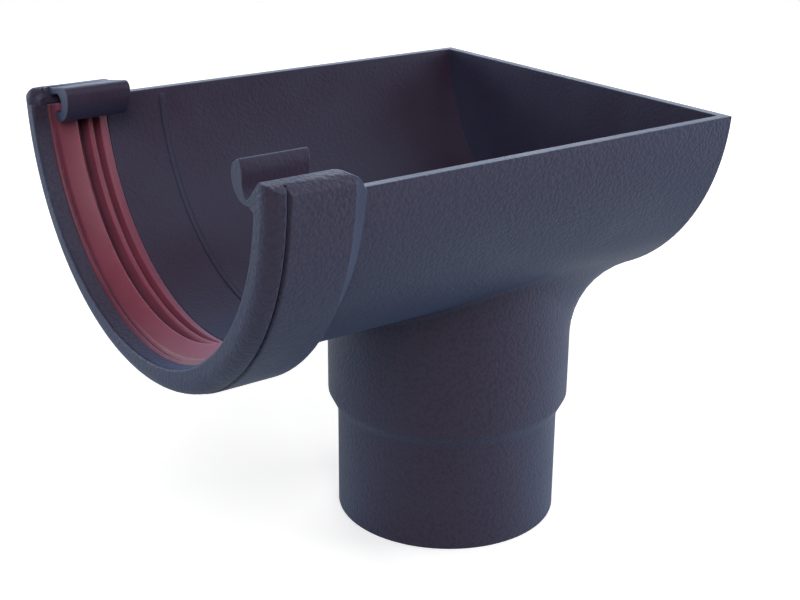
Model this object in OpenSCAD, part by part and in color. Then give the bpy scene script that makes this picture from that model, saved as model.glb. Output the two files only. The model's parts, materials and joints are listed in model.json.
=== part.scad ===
// Gutter stop end outlet: a half-round trough that is closed at one end and has a sealed socket at
// the other, with an outlet in its floor that blends down into a spigot for a round downpipe.
// The origin is the middle of the spigot's foot. +X points to the closed end and +Z points up.

/* [Trough] */
// Inside radius of the trough
trough_r = 59.7; // [56:0.1:75]
// Wall of the trough, the closed end and the outlet
wall = 3; // [2:0.1:3.6]
// Height of the trough's axis above the spigot's foot
axis_z = 133.9; // [125:0.1:180]
// Depth of the rim below the trough's axis
rim_drop = 4.4; // [2:0.1:8]
// From the spigot's axis to the outer face of the closed end
end_x = 48.5; // [42:0.1:90]
// From the spigot's axis to the mouth of the socket
mouth_x = 102.9; // [98:0.1:140]
// Distance of the insertion mark from the mouth
mark_depth = 39.8; // [34:0.1:50]

/* [Outlet] */
// Outside radius of the spigot that the downpipe fits over
spigot_r = 34; // [28:0.1:35]
// Length of the spigot up to its step
spigot_len = 33; // [20:0.5:36]
// Wall of the spigot
spigot_wall = 3; // [2:0.1:4]
// Outside radius of the outlet above the step
outlet_r = 37; // [36:0.1:40]
// Height of the tapered step
step_len = 6; // [3:0.5:8]
// Radius of the blend under the trough on the side of the closed end
blend_large = 24; // [10:0.5:26]
// Radius of the blend on the side of the socket
blend_small = 3; // [2:0.1:6]
// Angle from +X up to which the large radius holds
blend_full = 50; // [30:1:60]
// Angle from +X at which the small radius is reached
blend_done = 100; // [80:1:120]

/* [Socket] */
// Radial gap between the lip's bore and the trough's inside
lip_relief = 0.9; // [0.5:0.1:2]
// Wall outside the lip's bore, up to the outside of the socket
socket_wall = 7.8; // [7:0.1:10]
// Length from the mouth to the tapered shoulder
socket_len = 22.2; // [21.8:0.1:26]
// Length of the tapered shoulder
shoulder_len = 6.5; // [4:0.1:8]
// Radius of the rounded lip bead
bead_r = 4.6; // [3:0.1:4.8]
// Radial fall from the socket's outside to the top of the bead
bead_fall = 0.3; // [0:0.1:1]
// Width of the crease behind the bead
crease_w = 1.2; // [0.6:0.1:2]
// Depth of the crease
crease_depth = 1.6; // [0.8:0.1:2]
// Distance from the mouth to the groove of the seal
lip_len = 4.5; // [4:0.1:6]
// Depth of the seal's groove from the lip's bore
groove_depth = 3.8; // [3:0.1:4]
// Length of the seal's groove
groove_len = 17.4; // [17:0.1:20]

/* [Seal] */
// Clearance between the seal and its groove
seal_gap = 0.25; // [0.1:0.05:0.4]
// How far the flap reaches in past the trough's inside, to close on the gutter
flap_reach = 3.5; // [2.9:0.1:4.4]
// Thickness of the flap
flap_t = 1.3; // [0.8:0.1:1.6]
// How far the front ridge reaches in past the trough's inside
ridge_front_reach = 2.1; // [1.3:0.1:2.9]
// How far the rear ridge reaches in past the trough's inside
ridge_rear_reach = 1.1; // [0.3:0.1:1.7]

/* [Clips] */
// Height of the near wall's top edge above the trough's axis
near_top = 1.5; // [0:0.1:3]
// Length of the snap leaf from the mouth
leaf_len = 17.8; // [10:0.1:18.5]
// Radius of the leaf's rounded inner side
leaf_r = 5.9; // [5.4:0.1:6.2]
// Height of the leaf's tip above the trough's axis
leaf_tip = 5; // [4.4:0.1:5.4]
// Distance from the mouth to the rear hook
hook_inset = 5.5; // [5:0.1:8]
// Length of the rear hook
hook_len = 19.2; // [12:0.1:20]
// Outside radius of the hook's curl
hook_r = 7.2; // [6.6:0.1:7.6]
// Inside radius of the hook's curl
hook_bore = 2.8; // [2.2:0.1:3]

/* [Hidden] */
$fn = 120;

body_colour = [0.23, 0.26, 0.33];
seal_colour = [0.49, 0.22, 0.30];

trough_out = trough_r + wall;
lip_bore = trough_r + lip_relief;
socket_out = lip_bore + socket_wall;
groove_r = lip_bore + groove_depth;
flap_tip_r = trough_r - flap_reach;
ridge_front_r = trough_r - ridge_front_reach;
ridge_rear_r = trough_r - ridge_rear_reach;
mouth = -mouth_x;
groove_front = mouth + lip_len;
groove_back = groove_front + groove_len;
front = groove_front + seal_gap / 2;    // front and rear of the seal in its groove
rear = groove_back - seal_gap / 2;
seal_floor = 0.7;                       // the seal's base lies this far below the lip's bore
shoulder_front = mouth + socket_len;
shoulder_back = shoulder_front + shoulder_len;
past = 20;          // how far a cutting form runs past what it cuts
outlet_top = axis_z - 0.65 * trough_r;  // the outlet's form ends here, inside the trough's
bore_top = axis_z - trough_r / 2;       // and its bore here, in the trough's water space

// Angles round the trough, from straight down towards +Y. The flap and the ridges end under the
// hook, and the seal's base runs on up behind it.
seal_near = -84;
flap_far = 79.8;
seal_far = 85;
end_gap = 0.3;      // degrees between each end of the seal and the end of its groove
mark_end = 84;      // end of the insertion mark on either side

// The clips are drawn in a plane across the trough: distance from its middle, height from its axis
near_edge = lip_bore + 2.6;     // inner edge of the near wall's top
near_fall = 0.2;                // slope of the near wall's top, falling outwards
far_fall = 0.17;                // slope of the far wall's top
far_edge = lip_bore + 1.4;      // place at which far_top is the height
far_top = -0.4;
top_round = 4;                  // rounding of both tops towards the outside
end_round = 14.6;               // rounding of both walls down to the rim, behind the clips
end_steep = 55;                 // steepness at which it meets the rim, in degrees
end_level = 12;                 // steepness at which it starts
notch_behind = 7.5;             // how far the notch runs on behind the leaf, to the rounded end
far_ball = 4.35;                // radius of the ball in which the far end of the lip ends

// The blend is a ball that rolls in the corner between the outlet and the trough
blend_steps = 72;
blend_rows = 8;
seam_turn = 200;    // puts the start of the outlet's round faces off the middle plane
sink = 0.05;        // how far its edges lie under the round faces that they meet

function ease(t) = let (u = max(0, min(1, t))) u * u * (3 - 2 * u);

function arc(mid, r, from, to, n) =
    [for (i = [0:n]) let (a = from + (to - from) * i / n) mid + r * [cos(a), sin(a)]];

// Ball radius at an angle round the outlet, 0 being the side of the closed end
function ball_at(a) =
    blend_small + (blend_large - blend_small) * ease((blend_done - abs(a)) / (blend_done - blend_full));

// Point of the blend: t runs from 0 on the outlet to 1 on the trough, and inset is the depth of the
// surface below the outer one
function blend_point(a, t, inset) =
    let (
        ball = ball_at(a),
        reach = trough_out + ball,
        x_mid = (outlet_r + ball) * cos(a),
        y_mid = (outlet_r + ball) * sin(a),
        drop = sqrt(reach * reach - y_mid * y_mid),
        to_outlet = [-cos(a), -sin(a), 0],
        to_trough = [0, -y_mid, drop] / reach,
        turn = acos(to_outlet * to_trough),
        way = (sin((1 - t) * turn) * to_outlet + sin(t * turn) * to_trough) / sin(turn),
        edge = (t == 0 || t == 1) ? sink : 0
    )
    [x_mid, y_mid, axis_z - drop] + (ball + inset + edge) * way;

// Turns a drawing of radius against X about the trough's axis, all the way round
module about_axis()
    translate([0, 0, axis_z])
        rotate([0, 90, 0])
            rotate([0, 0, 180])
                rotate_extrude()
                    children();

// The same between two angles, counted from straight down towards +Y
module part_way(from, to)
    translate([0, 0, axis_z])
        rotate([0, 90, 0])
            rotate([0, 0, from])
                rotate_extrude(angle = to - from)
                    children();

// Draws a section across the trough out along X
module along_x(from, len)
    translate([from, 0, axis_z])
        rotate([90, 0, 90])
            linear_extrude(len)
                children();

// Filled form that rounds the corner between the outlet and the trough
module blend_form(inset) {
    row = blend_rows + 1;
    count = blend_steps * row;
    spare = 2;
    low = axis_z - trough_out - blend_large - spare;
    high = axis_z - trough_out / 2;
    points = [
        for (i = [0:blend_steps - 1], j = [0:blend_rows])
            blend_point(i * 360 / blend_steps - 180, j / blend_rows, inset),
        [0, 0, low],
        [0, 0, high]
    ];
    function at(i, j) = (i % blend_steps) * row + j;
    skin = [
        for (i = [0:blend_steps - 1], j = [0:blend_rows - 1], half = [0, 1])
            half == 0
                ? [at(i, j), at(i, j + 1), at(i + 1, j + 1)]
                : [at(i, j), at(i + 1, j + 1), at(i + 1, j)]
    ];
    caps = [
        for (i = [0:blend_steps - 1], half = [0, 1])
            half == 0
                ? [at(i, 0), at(i + 1, 0), count]
                : [at(i + 1, blend_rows), at(i, blend_rows), count + 1]
    ];
    polyhedron(points, concat(skin, caps));
}

// Everything beyond a plane across the trough
module beyond(x)
    translate([x, -past - socket_out, -past])
        cube([4 * past, 2 * (past + socket_out), axis_z + socket_out + 2 * past]);

// Outside of the trough and socket as radius against X
module trough_section() {
    bead_mid = socket_out - bead_fall - bead_r;
    behind = 0.1;       // the crease's bottom lies this far behind the bead's middle
    crease_x = mouth + bead_r + behind;
    difference() {
        union() {
            polygon([
                [0, mouth], [bead_mid, mouth], [bead_mid, crease_x],
                [socket_out, crease_x], [socket_out, shoulder_front],
                [trough_out, shoulder_back], [trough_out, end_x + past], [0, end_x + past]
            ]);
            translate([bead_mid, mouth + bead_r])
                circle(r = bead_r);
        }
        // The V ends below the surface, so its flanks are drawn on past it
        polygon([
            [socket_out - crease_depth, crease_x],
            [socket_out + crease_depth, crease_x - crease_w],
            [socket_out + crease_depth, crease_x + crease_w]
        ]);
    }
}

// Water space of the trough and socket as radius against X
module trough_bore_section() {
    edge = 0.5;
    polygon([
        [0, mouth - past], [lip_bore + edge + past, mouth - past], [lip_bore, mouth + edge],
        [lip_bore, groove_back], [trough_r, groove_back],
        [trough_r, end_x + past], [0, end_x + past]
    ]);
}

module outlet_form()
    rotate([0, 0, seam_turn])
        rotate_extrude()
            polygon([
                [0, 0], [spigot_r, 0], [spigot_r, spigot_len], [outlet_r, spigot_len + step_len],
                [outlet_r, outlet_top], [0, outlet_top]
            ]);

module outlet_bore() {
    bore = spigot_r - spigot_wall;
    upper = outlet_r - wall;
    rotate([0, 0, seam_turn])
        rotate_extrude()
            polygon([
                [0, -past], [bore, -past], [bore, spigot_len], [upper, spigot_len + step_len],
                [upper, bore_top], [0, bore_top]
            ]);
}

module outer_form()
    difference() {
        union() {
            about_axis() trough_section();
            outlet_form();
            blend_form(0);
        }
        beyond(end_x);
    }

module water_space()
    difference() {
        union() {
            about_axis() trough_bore_section();
            outlet_bore();
            blend_form(wall);
        }
        beyond(end_x - wall);
    }

module seal_groove()
    part_way(seal_near - end_gap, seal_far + end_gap)
        polygon([
            [trough_r - wall, groove_front], [groove_r, groove_front],
            [groove_r, groove_back], [trough_r - wall, groove_back]
        ]);

// Line of one wall's top: level inside the edge, then falling outwards and rounding over
function wall_top(edge, top, fall) =
    let (
        bend = atan(fall),
        last = 15,          // the rounding stops this far from upright, just outside the wall
        outside = 0.15,
        round_y = socket_out + outside - top_round * cos(last),
        mid = [round_y, top - fall * (round_y - edge) - top_round / cos(bend)],
        bow = arc(mid, top_round, 90 - bend, last, 8)
    )
    concat([[edge - past, top], [edge, top]], bow, [[socket_out + past, bow[8][1]]]);

// What lies above the side walls, to be taken away
module above_walls() {
    near = wall_top(near_edge, near_top, near_fall);
    far = wall_top(far_edge, far_top, far_fall);
    count = len(near);
    along_x(mouth - past, past + socket_len + shoulder_len + past)
        polygon(concat(
            [for (i = [count - 1:-1:0]) [-near[i][0], near[i][1]]],
            far,
            [[socket_out + past, socket_out + past], [-socket_out - past, socket_out + past]]
        ));
    // Behind the clips the tops round down to the rim, which they reach just inside the shoulder
    rise = socket_out + past;
    inside = 0.6;
    rim_x = shoulder_back - inside;
    mid = [rim_x - end_round * sin(end_steep), -rim_drop - end_round * cos(end_steep)];
    bow = arc(mid, end_round, 90 - end_level, 90 - end_steep, 10);
    start = mouth - past;
    translate([0, socket_out + past, axis_z])
        rotate([90, 0, 0])
            linear_extrude(2 * (socket_out + past))
                polygon(concat(
                    [[start, bow[0][1] + tan(end_level) * (bow[0][0] - start)]],
                    bow,
                    [[end_x + past, -rim_drop], [end_x + past, rise], [start, rise]]
                ));
    // The lip's far end is a ball, with a small flat left at the mouth
    flat = 0.1;
    lower = 0.2;        // its top lies this far below the far wall's
    ball_y = (lip_bore + socket_out - bead_fall) / 2;
    ball_z = far_top - far_ball - lower;
    difference() {
        translate([mouth - past, ball_y - far_ball - 1, axis_z + ball_z])
            cube([past + far_ball, past, past]);
        translate([mouth + far_ball - flat, ball_y, axis_z + ball_z])
            rotate([0, 0, seam_turn])
                sphere(far_ball);
    }
}

// Snap leaf of the near wall with its root, before the notch is cut behind it
module leaf_section() {
    mid = [lip_bore - 3.2, 0.7];
    tip = [lip_bore - 5.4, leaf_tip];
    tip_fall = [1.3, 0.5];      // the tip's top runs this far inwards and falls by this much
    under_tip = 1.5;            // the rounding starts this far below the tip
    round_end = 282;            // and ends at this angle, where it runs out into the wall
    start = 180 - asin((leaf_tip - under_tip - mid[1]) / leaf_r);
    root = [lip_bore + 1.4, -6.2];
    polygon(concat(
        [tip, tip - tip_fall],
        arc(mid, leaf_r, start, round_end, 14),
        [root + [-2.1, 0.3], root, [root[0], leaf_tip]]
    ));
}

// Notch between the snap leaf and the near wall, open at the top
module notch_section() {
    tip_y = lip_bore - 5.1;
    bottom = [lip_bore - 2.3, -3.7];
    over = leaf_tip + past;
    polygon([
        [tip_y, leaf_tip], [tip_y + 0.45, leaf_tip - 1], [tip_y + 0.8, leaf_tip - 2.3],
        [tip_y + 0.9, leaf_tip - 3.6], bottom + [-1.95, 3.3], bottom + [-1.7, 2],
        bottom + [-1.2, 0.9], bottom + [-0.6, 0.2], bottom,
        [near_edge, near_top], [near_edge, over], [tip_y, over]
    ]);
}

// Rolled hook of the far wall: an outer curl, and a smaller one set low in it, so that the curl
// thins towards its end and leaves a slot to the wall for the gutter's rear edge
module hook_section() {
    mid = [lip_bore - 5.2, -2];
    hollow_mid = [lip_bore - 5, -4];
    corner = 2.4;           // rounding between the hook's top and its curl
    lower = 0.3;            // the hook's top lies this much below the wall's
    left = mid[0] - hook_r;
    root_y = far_edge + 1.2;
    root_low = -4.4;
    tip = [lip_bore - 3.1, -7.4];
    function top_at(y) = far_top - lower - far_fall * (y - far_edge);
    polygon(concat(
        [[root_y, top_at(root_y)]],
        arc([left + corner, top_at(left + corner) - corner], corner, 80, 172, 6),
        arc(mid, hook_r, 184, 276, 12),
        [tip + [-0.5, -0.9], tip, tip + [-0.3, 0.8]],
        arc(hollow_mid, hook_bore, -60, -205, 10),
        [hollow_mid + [-1.6, 2.1], hollow_mid + [-0.8, 2.7], hollow_mid + [4.1, 1.6],
         hollow_mid + [4.8, 0.7], [root_y, root_low]]
    ));
}

module insertion_mark() {
    rise = 0.3;
    width = 1.5;
    part_way(-mark_end, mark_end)
        translate([trough_r - rise, mouth + mark_depth - width / 2])
            square([rise + wall / 2, width]);
}

module outlet_body()
    color(body_colour)
        difference() {
            union() {
                difference() {
                    outer_form();
                    water_space();
                    seal_groove();
                    above_walls();
                }
                insertion_mark();
                along_x(mouth, leaf_len) mirror([1, 0]) leaf_section();
                along_x(mouth + hook_inset, hook_len) hook_section();
            }
            along_x(mouth - past, past + leaf_len + notch_behind) mirror([1, 0]) notch_section();
        }

// Section of the seal as radius against X: a front bead, a long flap with a hollow under it, and
// two ridges. The flap follows the front of the groove, and the ridges follow its back.
module seal_section() {
    back = groove_r - seal_gap;
    face = lip_bore - 0.2;              // the front bead's face
    floor_r = lip_bore + seal_floor;
    valley_r = floor_r - 0.6;           // floor between the two ridges
    flap_root = [lip_bore - 1.2, front + 1.8];
    flap_tip = [flap_tip_r, front + 6.2];
    slant = (flap_tip - flap_root) / norm(flap_tip - flap_root);
    under = flap_t * [slant[1], -slant[0]];
    blunt = 0.4;                        // rounding of the flap's tip
    ridge_w = 1;                        // width of the front ridge's top
    ridge_front_x = rear - 6.8;
    ridge_rear_x = rear - 2.8;
    valley_x = rear - 4.6;
    polygon([
        [back, front], [face, front], [face - 0.2, front + 0.5], [face, front + 1.1],
        [lip_bore + 0.2, front + 1.4], flap_root,
        flap_tip - blunt * slant, flap_tip + 0.25 * under, flap_tip + 0.75 * under,
        flap_tip + under - blunt * slant, flap_root + under + 1.6 * slant,
        [floor_r - 0.4, flap_root[1] + 1.5], [floor_r, flap_root[1] + 2.2],
        [floor_r, ridge_front_x - 1.4], [valley_r, ridge_front_x - 1.1],
        [ridge_front_r + 0.3, ridge_front_x - 0.3], [ridge_front_r, ridge_front_x],
        [ridge_front_r, ridge_front_x + ridge_w],
        [ridge_front_r + 0.3, ridge_front_x + ridge_w + 0.3],
        [valley_r - 0.4, valley_x - 0.4], [valley_r, valley_x],
        [valley_r, valley_x + 0.5], [valley_r - 0.4, valley_x + 0.9],
        [ridge_rear_r + 0.2, ridge_rear_x - 0.3], [ridge_rear_r, ridge_rear_x],
        [ridge_rear_r + 0.2, ridge_rear_x + 0.5],
        [trough_r + 0.1, rear - 0.2], [trough_r + 0.3, rear], [back, rear]
    ]);
}

// What stands out from the seal's base, behind its front bead
module seal_trim_section() {
    level = lip_bore + seal_floor - 0.15;
    above_bead = lip_bore - 0.7;
    polygon([
        [flap_tip_r - past, front - past], [flap_tip_r - past, rear + past],
        [level, rear + past], [level, front + 1.7],
        [above_bead, front + 1.25], [above_bead, front - past]
    ]);
}

module socket_seal()
    color(seal_colour)
        difference() {
            part_way(seal_near, seal_far) seal_section();
            part_way(flap_far, seal_far + past) seal_trim_section();
        }

outlet_body();
socket_seal();
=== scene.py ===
"""Looks, light and camera of the gutter stop end outlet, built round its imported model."""

import json
import logging
import math
from dataclasses import dataclass, field
from enum import Enum

import bmesh
import bpy
from mathutils import Matrix, Vector
from mathutils.bvhtree import BVHTree

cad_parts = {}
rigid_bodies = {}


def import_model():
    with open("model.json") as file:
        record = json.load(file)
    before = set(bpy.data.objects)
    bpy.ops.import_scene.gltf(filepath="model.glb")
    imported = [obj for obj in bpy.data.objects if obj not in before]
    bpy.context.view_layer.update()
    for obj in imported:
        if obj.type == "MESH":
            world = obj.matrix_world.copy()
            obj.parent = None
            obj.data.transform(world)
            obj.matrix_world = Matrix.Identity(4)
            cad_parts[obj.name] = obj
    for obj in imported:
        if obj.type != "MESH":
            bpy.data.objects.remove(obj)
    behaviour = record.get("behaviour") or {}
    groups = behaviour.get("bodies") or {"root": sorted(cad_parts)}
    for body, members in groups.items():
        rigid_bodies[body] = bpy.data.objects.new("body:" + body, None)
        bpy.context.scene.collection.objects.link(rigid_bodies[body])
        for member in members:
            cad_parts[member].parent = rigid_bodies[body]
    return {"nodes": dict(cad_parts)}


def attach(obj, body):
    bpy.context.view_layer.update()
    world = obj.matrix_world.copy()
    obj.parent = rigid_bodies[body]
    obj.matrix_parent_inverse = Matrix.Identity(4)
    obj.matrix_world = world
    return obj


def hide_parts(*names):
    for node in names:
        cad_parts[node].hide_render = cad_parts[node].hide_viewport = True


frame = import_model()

log = logging.getLogger("gutter_outlet")

Colour = tuple[float, float, float]

MM = 0.001                  # a millimetre in metres
AXIS_Z = 133.9 * MM         # height of the trough's axis


def linear(red: int, green: int, blue: int) -> Colour:
    """Turns a screen colour into the linear one that shaders take.

    Args:
        red: Red from 0 to 255.
        green: Green from 0 to 255.
        blue: Blue from 0 to 255.

    Returns:
        The same colour with linear channels from 0 to 1.
    """
    def channel(value: int) -> float:
        """Returns one linear channel."""
        share = value / 255
        return share / 12.92 if share <= 0.04045 else ((share + 0.055) / 1.055) ** 2.4
    return channel(red), channel(green), channel(blue)


class SocketKind(Enum):
    """Kinds of socket that the node groups use, each with its subtype."""

    NUMBER = ("NodeSocketFloat", "NONE")
    LENGTH = ("NodeSocketFloat", "DISTANCE")
    ANGLE = ("NodeSocketFloat", "ANGLE")
    WHOLE = ("NodeSocketInt", "NONE")
    SHAPE = ("NodeSocketGeometry", "")
    OBJECT = ("NodeSocketObject", "")
    MATERIAL = ("NodeSocketMaterial", "")


class Tree:
    """A node tree with short calls to add and join nodes."""

    def __init__(self, tree: bpy.types.NodeTree) -> None:
        """Keeps the tree and empties it.

        Args:
            tree: The tree of a material, a world or a group.
        """
        self.tree = tree
        self.tree.nodes.clear()

    def add(self, kind: str, **settings: object) -> bpy.types.Node:
        """Adds a node.

        Args:
            kind: The node's type name.
            **settings: Values of the node's own properties.

        Returns:
            The new node.
        """
        node = self.tree.nodes.new(kind)
        for name, value in settings.items():
            setattr(node, name, value)
        return node

    def join(self, source: object, target: bpy.types.NodeSocket) -> None:
        """Links an output to an input, or sets the input where the source is a plain value.

        Args:
            source: An output socket, a number or a vector.
            target: The input socket.
        """
        if isinstance(source, bpy.types.NodeSocket):
            self.tree.links.new(source, target)
        else:
            target.default_value = source

    def feed(self, node: bpy.types.Node, **sources: object) -> bpy.types.Node:
        """Feeds several inputs of a node.

        Args:
            node: The node.
            **sources: Sockets or plain values by input name, with _ for a space.

        Returns:
            The same node.
        """
        for name, source in sources.items():
            self.join(source, node.inputs[name.replace("_", " ")])
        return node

    def math(self, operation: str, first: object, second: object = 0.0,
             third: object = 0.0) -> bpy.types.NodeSocket:
        """Adds a Math node.

        Args:
            operation: Name of the operation.
            first: First number or socket.
            second: Second number or socket.
            third: Third number or socket, for the operations that take one.

        Returns:
            The node's output.
        """
        node = self.add("ShaderNodeMath", operation=operation)
        for source, target in zip((first, second, third), node.inputs):
            self.join(source, target)
        return node.outputs[0]

    def ramp(self, source: bpy.types.NodeSocket, low: float, high: float,
             floor: float = 0.0, ceiling: float = 1.0) -> bpy.types.NodeSocket:
        """Spreads a value smoothly over a new range.

        Args:
            source: The value.
            low: Value that becomes the floor.
            high: Value that becomes the ceiling.
            floor: Lowest result.
            ceiling: Highest result.

        Returns:
            The spread value.
        """
        node = self.add("ShaderNodeMapRange", interpolation_type="SMOOTHSTEP")
        for value, target in zip((source, low, high, floor, ceiling), node.inputs):
            self.join(value, target)
        return node.outputs[0]

    def blend(self, factor: object, first: object, second: object) -> bpy.types.NodeSocket:
        """Mixes two colours.

        Args:
            factor: Share of the second colour.
            first: First colour or socket.
            second: Second colour or socket.

        Returns:
            The mixed colour.
        """
        node = self.add("ShaderNodeMix", data_type="RGBA")
        self.join(factor, node.inputs[0])
        for value, target in ((first, node.inputs[6]), (second, node.inputs[7])):
            self.join(value if isinstance(value, bpy.types.NodeSocket) else (*value, 1.0), target)
        return node.outputs[2]

    def mask(self, name: str) -> bpy.types.NodeSocket:
        """Reads a mask of the mesh.

        Args:
            name: The mask's name.

        Returns:
            The mask's value.
        """
        return self.add("ShaderNodeAttribute", attribute_name=name,
                        attribute_type="GEOMETRY").outputs["Fac"]

    def bump(self, height: bpy.types.NodeSocket, depth: float) -> bpy.types.NodeSocket:
        """Adds a Bump node.

        Args:
            height: The relief from 0 to 1.
            depth: What a height of 1 stands for, in metres.

        Returns:
            The bumped normal.
        """
        node = self.add("ShaderNodeBump")
        self.feed(node, Strength=1.0, Distance=depth, Height=height)
        return node.outputs["Normal"]


def open_group(name: str, kind: str, inputs: dict[str, tuple[SocketKind, object]],
               outputs: dict[str, SocketKind]) -> tuple[Tree, bpy.types.Node, bpy.types.Node]:
    """Starts a node group with named sockets.

    Args:
        name: The group's name.
        kind: ShaderNodeTree or GeometryNodeTree.
        inputs: Kind and default value of each input, by name.
        outputs: Kind of each output, by name.

    Returns:
        The group's tree, its input node and its output node.
    """
    group = bpy.data.node_groups.new(name, kind)
    for title, (socket_kind, value) in inputs.items():
        base, subtype = socket_kind.value
        socket = group.interface.new_socket(title, in_out="INPUT", socket_type=base)
        if subtype:
            socket.subtype = subtype
        if value is not None:
            socket.default_value = value
    for title, socket_kind in outputs.items():
        group.interface.new_socket(title, in_out="OUTPUT", socket_type=socket_kind.value[0])
    tree = Tree(group)
    return tree, tree.add("NodeGroupInput"), tree.add("NodeGroupOutput")


def build_grain_group() -> bpy.types.NodeTree:
    """Makes the group that gives a moulded surface its pebbled grain.

    Returns:
        A group whose Height is the relief, whose Pits marks its low spots, and whose Tone is a slow
        change of shade.
    """
    tree, given, result = open_group(
        "Moulded grain", "ShaderNodeTree",
        {"Size": (SocketKind.NUMBER, 900.0), "Coarseness": (SocketKind.NUMBER, 0.5),
         "Patches": (SocketKind.NUMBER, 40.0)},
        {"Height": SocketKind.NUMBER, "Pits": SocketKind.NUMBER, "Tone": SocketKind.NUMBER})
    size, patches = given.outputs["Size"], given.outputs["Patches"]
    pebble_share = -0.7                     # a pebble's middle stands higher than its rim
    pits_begin, pits_end = 0.25, -0.05
    tone_begin, tone_end = 0.3, 0.7
    place = tree.add("ShaderNodeTexCoord").outputs["Object"]
    fine = tree.feed(tree.add("ShaderNodeTexNoise"), Vector=place, Scale=size, Detail=3.0,
                     Roughness=given.outputs["Coarseness"])
    pebbles = tree.feed(tree.add("ShaderNodeTexVoronoi", feature="SMOOTH_F1"), Vector=place,
                        Scale=size, Smoothness=0.6)
    slow = tree.feed(tree.add("ShaderNodeTexNoise"), Vector=place, Scale=patches, Detail=2.0)
    relief = tree.math("MULTIPLY_ADD", pebbles.outputs["Distance"], pebble_share,
                       fine.outputs["Fac"])
    tree.join(relief, result.inputs["Height"])
    tree.join(tree.ramp(relief, pits_begin, pits_end), result.inputs["Pits"])
    tree.join(tree.ramp(slow.outputs["Fac"], tone_begin, tone_end), result.inputs["Tone"])
    return tree.tree


def build_line_breakup_group() -> bpy.types.NodeTree:
    """Makes the group that breaks up a line along edges, of wear and painted highlight, or in
    creases, of painted shade.

    Returns:
        A group that takes a mask of the mesh and puts out the share of changed surface.
    """
    tree, given, result = open_group(
        "Edge lines", "ShaderNodeTree",
        {"Edge": (SocketKind.NUMBER, 0.0), "Amount": (SocketKind.NUMBER, 0.5),
         "Size": (SocketKind.NUMBER, 300.0)},
        {"Mask": SocketKind.NUMBER})
    thin_at, full_at, least = 0.3, 0.65, 0.45
    place = tree.add("ShaderNodeTexCoord").outputs["Object"]
    uneven = tree.feed(tree.add("ShaderNodeTexNoise"), Vector=place, Scale=given.outputs["Size"],
                       Detail=3.0)
    share = tree.ramp(uneven.outputs["Fac"], thin_at, full_at, least, 1.0)
    line = tree.math("MULTIPLY", given.outputs["Edge"], given.outputs["Amount"])
    tree.join(tree.math("MULTIPLY", line, share), result.inputs["Mask"])
    return tree.tree


@dataclass(frozen=True)
class Effects:
    """The shader node groups that the materials share."""

    grain: bpy.types.NodeTree
    line_breakup: bpy.types.NodeTree

    @staticmethod
    def place(tree: Tree, group: bpy.types.NodeTree, **values: object) -> bpy.types.Node:
        """Places a group in a material with its own values, and returns the node."""
        return tree.feed(tree.add("ShaderNodeGroup", node_tree=group), **values)


def open_material(name: str) -> tuple[bpy.types.Material, Tree, bpy.types.Node, bpy.types.Node]:
    """Starts a material.

    Args:
        name: The material's name.

    Returns:
        The material, its tree, a Principled shader and the output node.
    """
    material = bpy.data.materials.new(name)
    material.use_nodes = True
    tree = Tree(material.node_tree)
    shader = tree.add("ShaderNodeBsdfPrincipled")
    return material, tree, shader, tree.add("ShaderNodeOutputMaterial")


@dataclass(frozen=True)
class Line:
    """A changed line along the edges or in the creases of a piece."""

    colour: Colour
    amount: float
    patches: float


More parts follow.
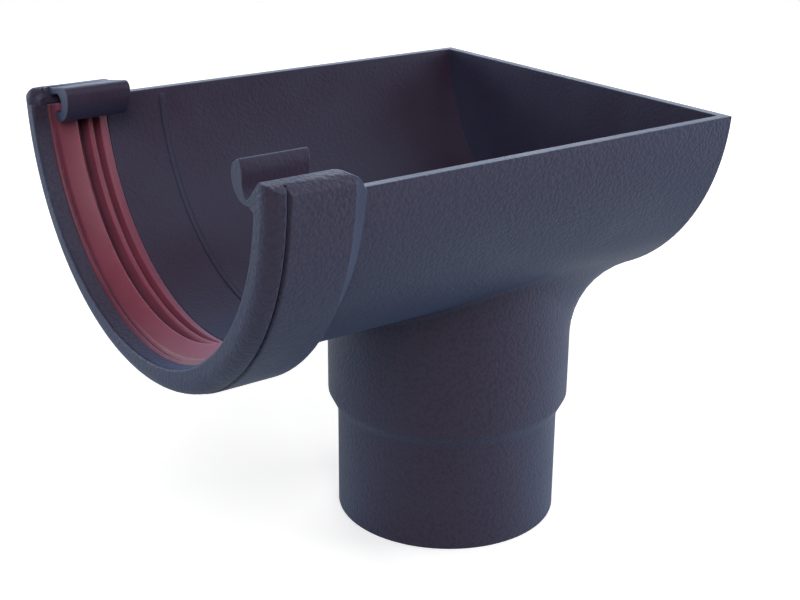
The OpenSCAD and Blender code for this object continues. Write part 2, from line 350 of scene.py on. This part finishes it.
@dataclass(frozen=True)
class Finish:
    """A moulded finish with grain, sheen, wear and painted highlight on edges, painted shade in
    creases.
    """

    name: str
    base: Colour
    pit_shade: Colour                     # the grain's low spots, painted darker as painted shade of the relief
    edge_wear_and_highlight: Line                      # edges painted lighter, as rubbed wear and painted highlight; its colour also tints the slow patches
    # creases painted darker: painted shade
    crease: Line
    grain_size: float               # pebbles a metre
    grain_depth: float
    coarseness: float
    patches: float                  # slow patches a metre
    tone_share: float               # how much the slow patches show
    roughness: float
    roughness_spread: float
    sheen: float
    sheen_roughness: float
    sheen_tint: Colour
    pit_share: float = 1.0
    specular: float = 0.5
    specular_tint: Colour = (1.0, 1.0, 1.0)
    inner: Colour | None = None     # darker base colour where the mesh's mask says inside: painted shade
    inside_smooth: float = 0.0      # share of the grain that is missing there

    @staticmethod
    def line(tree: Tree, effects: Effects, mask: str, line: Line,
             shade: object) -> bpy.types.NodeSocket:
        """Lays a line over the colour so far.

        Args:
            tree: The material's tree.
            effects: The shared groups.
            mask: Name of the mesh's mask that says where the line runs.
            line: The line.
            shade: The colour so far.

        Returns:
            The colour with the line.
        """
        share = effects.place(tree, effects.line_breakup, Edge=tree.mask(mask), Amount=line.amount,
                              Size=line.patches)
        return tree.blend(share.outputs["Mask"], shade, line.colour)

    def material(self, effects: Effects) -> bpy.types.Material:
        """Makes the material.

        Args:
            effects: The shared groups.

        Returns:
            The finished material.
        """
        material, tree, surface, out = open_material(self.name)
        grain = effects.place(tree, effects.grain, Size=self.grain_size,
                              Coarseness=self.coarseness, Patches=self.patches)
        height, pits, tone = (grain.outputs[name] for name in ("Height", "Pits", "Tone"))
        shade: object = self.base
        if self.inner:
            inside = tree.mask("inside")
            relief = tree.math("MULTIPLY_ADD", inside, -self.inside_smooth, 1.0)
            height = tree.math("MULTIPLY", height, relief)
            pits = tree.math("MULTIPLY", pits, relief)
            # the inside is painted darker: painted shade
            shade = tree.blend(inside, self.base, self.inner)
        # the grain's low spots are painted darker: painted shade of the relief
        shade = tree.blend(tree.math("MULTIPLY", pits, self.pit_share), shade, self.pit_shade)
        shade = tree.blend(tree.math("MULTIPLY", tone, self.tone_share), shade, self.edge_wear_and_highlight.colour)
        # edges painted lighter: rubbed wear and painted highlight
        shade = self.line(tree, effects, "edge", self.edge_wear_and_highlight, shade)
        # creases painted darker: painted shade
        shade = self.line(tree, effects, "crease", self.crease, shade)
        rough = tree.math("MULTIPLY_ADD", tone, self.roughness_spread,
                          self.roughness - self.roughness_spread / 2)
        tree.feed(surface, Base_Color=shade, Roughness=rough,
                  Normal=tree.bump(height, self.grain_depth),
                  Specular_IOR_Level=self.specular, Specular_Tint=(*self.specular_tint, 1.0),
                  Sheen_Weight=self.sheen, Sheen_Roughness=self.sheen_roughness,
                  Sheen_Tint=(*self.sheen_tint, 1.0))
        tree.join(surface.outputs[0], out.inputs["Surface"])
        return material


# Near-black plastic with a grain like cast iron, whose gloss and sheen are bluish
PLASTIC = Finish(
    name="Moulded plastic", base=linear(68, 43, 47), pit_shade=linear(56, 35, 39),
    # lighter edges: rubbed wear and painted highlight
    edge_wear_and_highlight=Line(linear(80, 76, 88), amount=0.6, patches=350.0),
    # darker creases: painted shade
    crease=Line(linear(28, 20, 24), amount=0.9, patches=200.0),
    grain_size=1000.0, grain_depth=0.18 * MM, coarseness=0.55, patches=45.0, tone_share=0.15,
    roughness=0.5, roughness_spread=0.08, specular=0.6, specular_tint=(0.3, 0.6, 1.0),
    sheen=0.2, sheen_roughness=0.7, sheen_tint=(0.12, 0.45, 1.0),
    # darker inside: painted shade
    inner=linear(57, 21, 21), inside_smooth=0.6)

# Burgundy rubber, smoother, with a soft sheen, painted shade between its ridges, wear and painted
# highlight on its flap
RUBBER = Finish(
    name="Seal rubber", base=linear(122, 43, 63), pit_shade=linear(103, 34, 52),
    # lighter flap tip and ridges: wear and painted highlight
    edge_wear_and_highlight=Line(linear(154, 74, 96), amount=0.5, patches=250.0),
    # darker deep parts between and behind the ridges: painted shade
    crease=Line(linear(74, 38, 48), amount=0.7, patches=150.0),
    grain_size=2500.0, grain_depth=0.02 * MM, coarseness=0.5, patches=60.0, tone_share=0.25,
    pit_share=0.5, roughness=0.48, roughness_spread=0.1,
    sheen=0.5, sheen_roughness=0.5, sheen_tint=(0.9, 0.62, 0.95))


def new_piece(name: str, skin: bmesh.types.BMesh) -> bpy.types.Object:
    """Makes an object from a skin and puts it in the scene.

    Args:
        name: The piece's name.
        skin: Its mesh, which is freed.

    Returns:
        The object.
    """
    mesh = bpy.data.meshes.new(name)
    skin.to_mesh(mesh)
    skin.free()
    piece = bpy.data.objects.new(name, mesh)
    bpy.context.scene.collection.objects.link(piece)
    return piece


def flatten(piece: bpy.types.Object) -> None:
    """Turns a piece's modifiers into plain mesh.

    Args:
        piece: The piece with its modifiers.
    """
    graph = bpy.context.evaluated_depsgraph_get()
    mesh = bpy.data.meshes.new_from_object(piece.evaluated_get(graph), depsgraph=graph)
    old = piece.data
    piece.modifiers.clear()
    piece.data = mesh
    bpy.data.meshes.remove(old)
    mesh.name = piece.name


def mark(mesh: bpy.types.Mesh, name: str, values: list[float]) -> None:
    """Writes a mask that the materials read.

    Args:
        mesh: The mesh.
        name: The mask's name.
        values: The mask's value at each vertex.
    """
    mesh.attributes.new(name, "FLOAT", "POINT").data.foreach_set("value", values)


@dataclass
class OutletBody:
    """The one moulding: trough, socket, clips and spigot, with its edges rounded."""

    node: str = "outlet_body"
    edge_round: float = 0.3 * MM        # reach of the rounding of each edge
    sharp: float = math.radians(28)     # edges from this angle on are rounded
    flat: float = math.radians(0.3)     # faces up to this angle apart are made one
    inside_r: float = 60.0 * MM         # what is nearer than this to the axis is inside
    merge: float = 0.002 * MM           # corners this close are one corner
    stray: float = 0.28 * MM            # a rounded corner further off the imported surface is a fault
    around: float = 0.7 * MM            # no edge is rounded this close to such a fault
    tries: int = 5

    def merged(self) -> bmesh.types.BMesh:
        """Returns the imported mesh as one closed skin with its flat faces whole."""
        skin = bmesh.new()
        skin.from_mesh(frame["nodes"][self.node].data)
        bmesh.ops.remove_doubles(skin, verts=skin.verts, dist=self.merge)
        bmesh.ops.dissolve_limit(skin, angle_limit=self.flat, verts=skin.verts, edges=skin.edges)
        return skin

    def sharp_edges(self, skin: bmesh.types.BMesh, left_out: list[Vector]) -> list:
        """Picks the edges to round.

        Args:
            skin: The closed skin.
            left_out: Places near which no edge is rounded.

        Returns:
            The sharp edges of the skin that keep clear of those places.
        """
        picked = []
        for edge in skin.edges:
            middle = (edge.verts[0].co + edge.verts[1].co) / 2
            if (edge.is_manifold and edge.calc_face_angle(0.0) > self.sharp
                    and all((middle - place).length > self.around for place in left_out)):
                picked.append(edge)
        return picked

    def bevelled(self, skin: bmesh.types.BMesh, left_out: list[Vector]) -> bmesh.types.BMesh:
        """Returns a copy of the skin with its edges rounded, save near the places left out."""
        trial = skin.copy()
        bmesh.ops.bevel(trial, geom=self.sharp_edges(trial, left_out), affect="EDGES",
                        offset=self.edge_round, offset_type="OFFSET", segments=2, profile=0.5,
                        clamp_overlap=False, material=1)
        return trial

    def rounded(self) -> bmesh.types.BMesh:
        """Rounds the sharp edges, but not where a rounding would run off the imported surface.

        Returns:
            The rounded skin, whose rounded strips carry the second material.
        """
        skin = self.merged()
        packed = BVHTree.FromBMesh(skin)
        left_out: list[Vector] = []
        trial = self.bevelled(skin, left_out)
        for _ in range(self.tries):
            found = [packed.find_nearest(vert.co) for vert in trial.verts]
            strays = [near for near, _, _, away in found if away > self.stray]
            log.info("body: %d corners stray from the packed surface", len(strays))
            if not strays:
                break
            left_out += strays
            trial.free()
            trial = self.bevelled(skin, left_out)
        self.keep_in_box(trial, skin)
        skin.free()
        self.clean(trial)
        return trial

    @staticmethod
    def keep_in_box(trial: bmesh.types.BMesh, skin: bmesh.types.BMesh) -> None:
        """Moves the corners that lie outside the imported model's box onto its sides.

        Args:
            trial: The rounded skin.
            skin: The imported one.
        """
        for axis in range(3):
            places = [vert.co[axis] for vert in skin.verts]
            low, high = min(places), max(places)
            for vert in trial.verts:
                vert.co[axis] = min(max(vert.co[axis], low), high)

    def clean(self, trial: bmesh.types.BMesh) -> None:
        """Takes out faces without area, and corners that only two edges meet.

        Args:
            trial: The rounded skin.
        """
        bmesh.ops.remove_doubles(trial, verts=trial.verts, dist=self.merge)
        bmesh.ops.dissolve_degenerate(trial, dist=self.merge, edges=trial.edges)
        needless = [vert for vert in trial.verts if len(vert.link_edges) == 2]
        bmesh.ops.dissolve_verts(trial, verts=needless)
        log.info("body: %d needless corners dissolved", len(needless))

    def is_inside(self, place: Vector) -> float:
        """Returns 1 for a place on the inside of the trough, and 0 for any other."""
        return float(math.hypot(place.y, place.z - AXIS_Z) < self.inside_r)

    @staticmethod
    def edge_masks(skin: bmesh.types.BMesh) -> tuple[list[float], list[float]]:
        """Finds the middles of the rounded edges, and gives all faces the first material.

        Args:
            skin: The rounded skin, whose strips carry the second material.

        Returns:
            1 at each vertex in the middle of an outer edge, and 1 at each in the middle of an inner
            one, as two lists.
        """
        outer, inner = [], []
        for vert in skin.verts:
            middle = all(face.material_index == 1 for face in vert.link_faces)
            around = [edge.other_vert(vert).co for edge in vert.link_edges]
            lean = (sum(around, Vector()) / len(around) - vert.co).dot(vert.normal)
            outer.append(float(middle and lean <= 0))
            inner.append(float(middle and lean > 0))
        for face in skin.faces:
            face.material_index = 0
        return outer, inner

    def build(self, material: bpy.types.Material) -> bpy.types.Object:
        """Makes the piece.

        Args:
            material: The plastic.

        Returns:
            The finished object.
        """
        skin = self.rounded()
        skin.normal_update()
        outer, inner = self.edge_masks(skin)
        piece = new_piece("moulded_body", skin)
        # the edge mask is painted lighter: rubbed wear and painted highlight
        mark(piece.data, "edge", outer)
        # the crease mask is painted darker: painted shade
        mark(piece.data, "crease", inner)
        # the inside mask paints the inside darker, as painted shade, and takes out some grain
        mark(piece.data, "inside", [self.is_inside(vert.co) for vert in piece.data.vertices])
        piece.data.materials.append(material)
        piece.data.shade_smooth()
        piece.data.set_sharp_from_angle(angle=self.sharp)
        weighted = piece.modifiers.new("Even shading", "WEIGHTED_NORMAL")
        weighted.keep_sharp = True
        flatten(piece)
        return piece


@dataclass
class SocketSeal:
    """The rubber strip of the socket: a lipped section that is swept round the trough's axis.

    Sizes are in millimetres. Angles are in degrees, from straight down towards the far side.
    """

    trough_r: float = 59.7
    lip_bore: float = 60.6
    back_r: float = 64.15
    front: float = -98.275
    rear: float = -81.125
    floor_depth: float = 0.7        # the base's floor lies this far outside the lip's bore
    face_drop: float = 0.2          # the front bead's face stands this far inside it
    flap_tip_r: float = 56.2
    flap_reach: float = 6.2         # from the front to the flap's tip
    flap_thick: float = 1.3
    flap_blunt: float = 0.4
    ridge_front_r: float = 57.6
    ridge_front_at: float = 6.8     # these three are counted from the rear
    ridge_rear_r: float = 58.6
    ridge_rear_at: float = 2.8
    valley_at: float = 4.6
    valley_rise: float = 0.6
    near_end: float = -84.0
    flap_end: float = 79.8
    far_end: float = 85.0
    past: float = 5.0               # the trimming outline runs this much on past the far end
    sharp: float = 40.0
    merge: float = 0.001
    rings: int = 110
    corner_steps: int = 3
    corner_share: float = 0.45      # a corner's rounding takes up at most this much of a side

    def section(self) -> list[tuple[float, float, float]]:
        """Returns the section's corners as radius, place along X and rounding."""
        front, rear, bore, blunt = self.front, self.rear, self.lip_bore, self.flap_blunt
        face, floor = bore - self.face_drop, bore + self.floor_depth
        valley = floor - self.valley_rise
        root = Vector((bore - 1.2, front + 1.8))
        tip = Vector((self.flap_tip_r, front + self.flap_reach))
        slant = (tip - root).normalized()
        under = self.flap_thick * Vector((slant.y, -slant.x))
        first, second = rear - self.ridge_front_at, rear - self.ridge_rear_at
        dip = rear - self.valley_at
        lip = [tip - blunt * slant, tip + 0.25 * under, tip + 0.75 * under,
               tip + under - blunt * slant, root + under + 1.6 * slant]
        return [
            # back, front bead and flap
            (self.back_r, front, 0.2), (face, front, 0.35), (face - 0.2, front + 0.5, 0.4),
            (face, front + 1.1, 0.3), (bore + 0.2, front + 1.4, 0.2), (*root, 0.3),
            *((*point, 0.35) for point in lip),
            # floor behind the flap
            (floor - 0.4, front + 3.3, 0.4), (floor, front + 4.0, 0.4),
            (floor, first - 1.4, 0.4), (valley, first - 1.1, 0.4),
            # front ridge
            (self.ridge_front_r + 0.3, first - 0.3, 0.3), (self.ridge_front_r, first, 0.3),
            (self.ridge_front_r, first + 1.0, 0.3), (self.ridge_front_r + 0.3, first + 1.3, 0.3),
            # valley
            (valley - 0.4, dip - 0.4, 0.3), (valley, dip, 0.3), (valley, dip + 0.5, 0.3),
            (valley - 0.4, dip + 0.9, 0.3),
            # rear ridge and base
            (self.ridge_rear_r + 0.2, second - 0.3, 0.2), (self.ridge_rear_r, second, 0.2),
            (self.ridge_rear_r + 0.2, second + 0.5, 0.3),
            (self.trough_r + 0.1, rear - 0.2, 0.15), (self.trough_r + 0.3, rear, 0.15),
            (self.back_r, rear, 0.2),
        ]

    def trim_section(self) -> list[tuple[float, float, float]]:
        """Returns the outline that takes the flap and ridges off the far end of the strip."""
        far = 20.0
        level, above_bead = self.lip_bore + self.floor_depth - 0.15, self.lip_bore - 0.7
        bead_end, base_begin = self.front + 1.25, self.front + 1.7
        inmost, foremost, rearmost = self.flap_tip_r - far, self.front - far, self.rear + far
        return [(inmost, foremost, 0), (above_bead, foremost, 0), (above_bead, bead_end, 0),
                (level, base_begin, 0), (level, rearmost, 0), (inmost, rearmost, 0)]

    def outline(self, name: str, corners: list[tuple[float, float, float]]) -> bpy.types.Object:
        """Makes a closed loop of edges from corners, each with its rounding.

        Args:
            name: The object's name.
            corners: Radius, place along X and rounding of each corner.

        Returns:
            An object with the loop, drawn about the back of the strip.
        """
        points = [Vector((radius - self.back_r, -x)) for radius, x, _ in corners]
        loop: list[Vector] = []
        for index, (_, _, rounding) in enumerate(corners):
            here = points[index]
            before, after = points[index - 1] - here, points[(index + 1) % len(points)] - here
            reach = min(rounding, self.corner_share * min(before.length, after.length))
            if reach <= 0:
                loop.append(here)
                continue
            start, end = here + reach * before.normalized(), here + reach * after.normalized()
            for step in range(self.corner_steps + 1):
                share = step / self.corner_steps
                loop.append(start.lerp(here, share).lerp(here.lerp(end, share), share))
        mesh = bpy.data.meshes.new(name)
        count = len(loop)
        mesh.from_pydata([(point.x * MM, point.y * MM, 0.0) for point in loop],
                         [(index, (index + 1) % count) for index in range(count)], [])
        drawn = bpy.data.objects.new(name, mesh)
        bpy.context.scene.collection.objects.link(drawn)
        return drawn

    @staticmethod
    def build_sweep_group() -> bpy.types.NodeTree:
        """Makes the group that sweeps a section round the trough's axis between two angles."""
        tree, given, result = open_group(
            "Sweep round the trough", "GeometryNodeTree",
            {"Section": (SocketKind.SHAPE, None), "From": (SocketKind.ANGLE, 0.0),
             "To": (SocketKind.ANGLE, 1.0), "Radius": (SocketKind.LENGTH, 0.06),
             "Axis height": (SocketKind.LENGTH, AXIS_Z), "Rings": (SocketKind.WHOLE, 60)},
            {"Strip": SocketKind.SHAPE})
        sweep = tree.math("SUBTRACT", given.outputs["To"], given.outputs["From"])
        arc = tree.feed(tree.add("GeometryNodeCurveArc", mode="RADIUS"),
                        Resolution=given.outputs["Rings"], Radius=given.outputs["Radius"],
                        Start_Angle=given.outputs["From"], Sweep_Angle=sweep)
        upright = tree.feed(tree.add("GeometryNodeSetCurveNormal", mode="Z_UP"),
                            Curve=arc.outputs["Curve"])
        section = tree.feed(tree.add("GeometryNodeMeshToCurve"), Mesh=given.outputs["Section"])
        strip = tree.feed(tree.add("GeometryNodeCurveToMesh"), Curve=upright.outputs[0],
                          Profile_Curve=section.outputs[0], Fill_Caps=True)
        lift = tree.feed(tree.add("ShaderNodeCombineXYZ"), Z=given.outputs["Axis height"])
        turned = tree.feed(tree.add("GeometryNodeTransform"), Geometry=strip.outputs[0],
                           Translation=lift.outputs[0], Rotation=(0.0, math.pi / 2, 0.0))
        tree.join(turned.outputs[0], result.inputs["Strip"])
        return tree.tree

    def build_tree(self) -> bpy.types.NodeTree:
        """Makes the tree of the strip, whose flap and ridges end before its base does."""
        sweep = self.build_sweep_group()
        tree, given, result = open_group(
            "Socket seal", "GeometryNodeTree",
            {"Section": (SocketKind.SHAPE, None), "Trim outline": (SocketKind.OBJECT, None),
             "Near end": (SocketKind.ANGLE, 0.0), "Flap end": (SocketKind.ANGLE, 1.0),
             "Far end": (SocketKind.ANGLE, 1.0), "Past": (SocketKind.ANGLE, 0.2),
             "Radius": (SocketKind.LENGTH, 0.06), "Axis height": (SocketKind.LENGTH, AXIS_Z),
             "Rings": (SocketKind.WHOLE, 60), "Material": (SocketKind.MATERIAL, None)},
            {"Seal": SocketKind.SHAPE})
        shared = {name: given.outputs[name] for name in ("Radius", "Axis height", "Rings")}

        def swept(section: object, start: object, end: object) -> bpy.types.NodeSocket:
            """Places the sweep group and returns its strip."""
            node = tree.feed(tree.add("GeometryNodeGroup", node_tree=sweep), Section=section,
                             From=start, To=end)
            for name, source in shared.items():
                tree.join(source, node.inputs[name])
            return node.outputs[0]

        trim = tree.add("GeometryNodeObjectInfo")
        tree.join(given.outputs["Trim outline"], trim.inputs["Object"])
        past = tree.math("ADD", given.outputs["Far end"], given.outputs["Past"])
        whole = swept(given.outputs["Section"], given.outputs["Near end"], given.outputs["Far end"])
        cutter = swept(trim.outputs["Geometry"], given.outputs["Flap end"], past)
        cut = tree.add("GeometryNodeMeshBoolean", operation="DIFFERENCE", solver="EXACT")
        tree.join(whole, cut.inputs["Mesh 1"])
        tree.join(cutter, cut.inputs["Mesh 2"])
        real = tree.feed(tree.add("GeometryNodeRealizeInstances"), Geometry=cut.outputs["Mesh"])
        dressed = tree.feed(tree.add("GeometryNodeSetMaterial"), Geometry=real.outputs[0],
                            Material=given.outputs["Material"])
        tree.join(dressed.outputs[0], result.inputs["Seal"])
        return tree.tree

    def build(self, material: bpy.types.Material) -> bpy.types.Object:
        """Makes the piece.

        Args:
            material: The rubber.

        Returns:
            The finished object.
        """
        piece = self.outline("socket_seal_strip", self.section())
        cutter = self.outline("trim", self.trim_section())
        modifier = piece.modifiers.new("Sweep", "NODES")
        modifier.node_group = self.build_tree()
        names = {item.name: item.identifier for item in modifier.node_group.interface.items_tree
                 if item.in_out == "INPUT"}
        values = {"Trim outline": cutter, "Near end": math.radians(self.near_end),
                  "Flap end": math.radians(self.flap_end), "Far end": math.radians(self.far_end),
                  "Past": math.radians(self.past), "Radius": self.back_r * MM,
                  "Axis height": AXIS_Z, "Rings": self.rings, "Material": material}
        for name, value in values.items():
            modifier[names[name]] = value
        flatten(piece)
        bpy.data.objects.remove(cutter)
        self.finish(piece.data)
        return piece

    def finish(self, mesh: bpy.types.Mesh) -> None:
        """Merges the strip's doubles, turns its faces outwards, smooths it and marks its lips.

        Args:
            mesh: The strip's mesh.
        """
        skin = bmesh.new()
        skin.from_mesh(mesh)
        bmesh.ops.remove_doubles(skin, verts=skin.verts, dist=self.merge * MM)
        bmesh.ops.recalc_face_normals(skin, faces=skin.faces)
        open_edges = sum(not edge.is_manifold for edge in skin.edges)
        log.info("seal: volume %.1f mm3, %d open edges", skin.calc_volume() / MM ** 3, open_edges)
        skin.to_mesh(mesh)
        skin.free()
        mesh.shade_smooth()
        mesh.set_sharp_from_angle(angle=math.radians(self.sharp))
        radii = [math.hypot(vert.co.y, vert.co.z - AXIS_Z) / MM for vert in mesh.vertices]
        tip, base, bore = self.flap_tip_r, self.trough_r, self.lip_bore
        # the flap and ridge tips are painted lighter: wear and painted highlight
        mark(mesh, "edge", [min(1, max(0, (base - radius) / (base - tip))) ** 2
                            for radius in radii])
        # the strip beyond the lip's bore is painted darker: painted shade
        mark(mesh, "crease", [min(1, max(0, (radius - base) / (bore - base))) for radius in radii])


@dataclass(frozen=True)
class Lamp:
    """A large soft lamp that faces the object."""

    name: str
    place: tuple[float, float, float]
    side: float
    power: float
    target: tuple[float, float, float] = (0.0, 0.0, 0.08)

    def build(self) -> None:
        """Makes the lamp."""
        data = bpy.data.lights.new(self.name, "AREA")
        data.energy = self.power
        data.size = self.side
        lamp = bpy.data.objects.new(self.name, data)
        lamp.location = self.place
        aim = Vector(self.target) - Vector(self.place)
        lamp.rotation_euler = aim.to_track_quat("-Z", "Y").to_euler()
        bpy.context.scene.collection.objects.link(lamp)


@dataclass
class Studio:
    """Plain pale floor, soft light from large lamps and a plain world."""

    floor_half: float = 0.9
    floor_paper: float = 0.1        # the paper's shade as it lights the object
    floor_mirrored: float = 0.9     # its shade in the object's gloss
    floor_seen: float = 0.9         # its shade in the picture
    floor_lift: float = 0.47        # added to that, so that it is white outside the shadow
    floor_roughness: float = 0.9
    world_level: float = 0.1
    lamps: list[Lamp] = field(default_factory=lambda: [
        Lamp("front", (-0.85, -1.1, 1.15), 1.0, 16.0),
        Lamp("upper right", (0.85, -0.5, 1.1), 0.9, 4.0),
        Lamp("back", (0.75, 1.0, 0.75), 1.1, 10.5),
        Lamp("left", (-0.8, 1.2, 0.3), 0.8, 6.5),
        Lamp("right", (1.2, -0.75, 0.4), 0.8, 8.0),
    ])

    def build(self) -> None:
        """Makes the floor, the world and the lamps."""
        self.lay_floor()
        self.light_world()
        for lamp in self.lamps:
            lamp.build()

    def lay_floor(self) -> None:
        """Makes the floor, which looks white outside the shadow and is clear from below."""
        half = self.floor_half
        mesh = bpy.data.meshes.new("floor")
        mesh.from_pydata([(-half, -half, 0), (half, -half, 0), (half, half, 0), (-half, half, 0)],
                         [], [(0, 1, 2, 3)])
        floor = bpy.data.objects.new("floor", mesh)
        bpy.context.scene.collection.objects.link(floor)
        material, tree, surface, out = open_material("Floor paper")
        rays = tree.add("ShaderNodeLightPath")
        seen = rays.outputs["Is Camera Ray"]
        paper = tree.blend(rays.outputs["Is Glossy Ray"], (self.floor_paper,) * 3,
                           (self.floor_mirrored,) * 3)
        paper = tree.blend(seen, paper, (self.floor_seen,) * 3)
        lift = tree.math("MULTIPLY", seen, self.floor_lift)
        tree.feed(surface, Base_Color=paper, Roughness=self.floor_roughness,
                  Specular_IOR_Level=0.0,
                  Emission_Color=(1.0, 1.0, 1.0, 1.0), Emission_Strength=lift)
        below = tree.add("ShaderNodeNewGeometry").outputs["Backfacing"]
        cover = tree.add("ShaderNodeMixShader")
        tree.join(tree.math("MULTIPLY", below, seen), cover.inputs[0])
        tree.join(surface.outputs[0], cover.inputs[1])
        tree.join(tree.add("ShaderNodeBsdfTransparent").outputs[0], cover.inputs[2])
        tree.join(cover.outputs[0], out.inputs["Surface"])
        mesh.materials.append(material)

    def light_world(self) -> None:
        """Sets a plain world that looks white to the camera."""
        world = bpy.data.worlds.new("Studio")
        bpy.context.scene.world = world
        world.use_nodes = True
        tree = Tree(world.node_tree)
        seen = tree.add("ShaderNodeLightPath").outputs["Is Camera Ray"]
        level = tree.math("MULTIPLY_ADD", seen, 1.0 - self.world_level, self.world_level)
        glow = tree.feed(tree.add("ShaderNodeBackground"), Color=(1.0, 1.0, 1.0, 1.0),
                         Strength=level)
        out = tree.add("ShaderNodeOutputWorld")
        tree.join(glow.outputs[0], out.inputs["Surface"])


@dataclass(frozen=True)
class PhotoCamera:
    """The camera that the photograph was taken from, solved from its outlines."""

    place: tuple[float, float, float] = (-251.075 * MM, -315.771 * MM, 218.184 * MM)
    heading: float = math.radians(36.379)
    dip: float = math.radians(20.589)
    roll: float = math.radians(0.377)
    sensor: float = 36.0
    focal_pixels: float = 1413.298
    picture_width: float = 800.0

    def build(self) -> None:
        """Makes the camera and sets it as the scene's."""
        forward = Vector((math.sin(self.heading) * math.cos(self.dip),
                          math.cos(self.heading) * math.cos(self.dip), -math.sin(self.dip)))
        level = forward.cross(Vector((0, 0, 1))).normalized()
        upright = level.cross(forward)
        right = level * math.cos(self.roll) + upright * math.sin(self.roll)
        up = upright * math.cos(self.roll) - level * math.sin(self.roll)
        data = bpy.data.cameras.new("photo")
        data.lens = self.focal_pixels * self.sensor / self.picture_width
        data.sensor_width = self.sensor
        camera = bpy.data.objects.new("photo", data)
        turn = Matrix((right, up, -forward)).transposed()
        camera.matrix_world = Matrix.Translation(self.place) @ turn.to_4x4()
        bpy.context.scene.collection.objects.link(camera)
        bpy.context.scene.camera = camera


def hand_over(piece: bpy.types.Object, node: str) -> None:
    """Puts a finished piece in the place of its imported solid.

    Args:
        piece: The finished piece.
        node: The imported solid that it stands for.
    """
    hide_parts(node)
    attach(piece, "root")
    log.info("%s: %d faces", piece.name, len(piece.data.polygons))


def main() -> None:
    """Builds the pieces, the light and the camera."""
    logging.basicConfig(level=logging.INFO, format="%(message)s")
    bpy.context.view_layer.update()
    PhotoCamera().build()
    effects = Effects(grain=build_grain_group(), line_breakup=build_line_breakup_group())
    body = OutletBody().build(PLASTIC.material(effects))
    hand_over(body, "outlet_body")
    seal = SocketSeal().build(RUBBER.material(effects))
    hand_over(seal, "socket_seal")
    Studio().build()
    bpy.context.scene.view_settings.view_transform = "Standard"


if __name__ == "__main__":
    main()
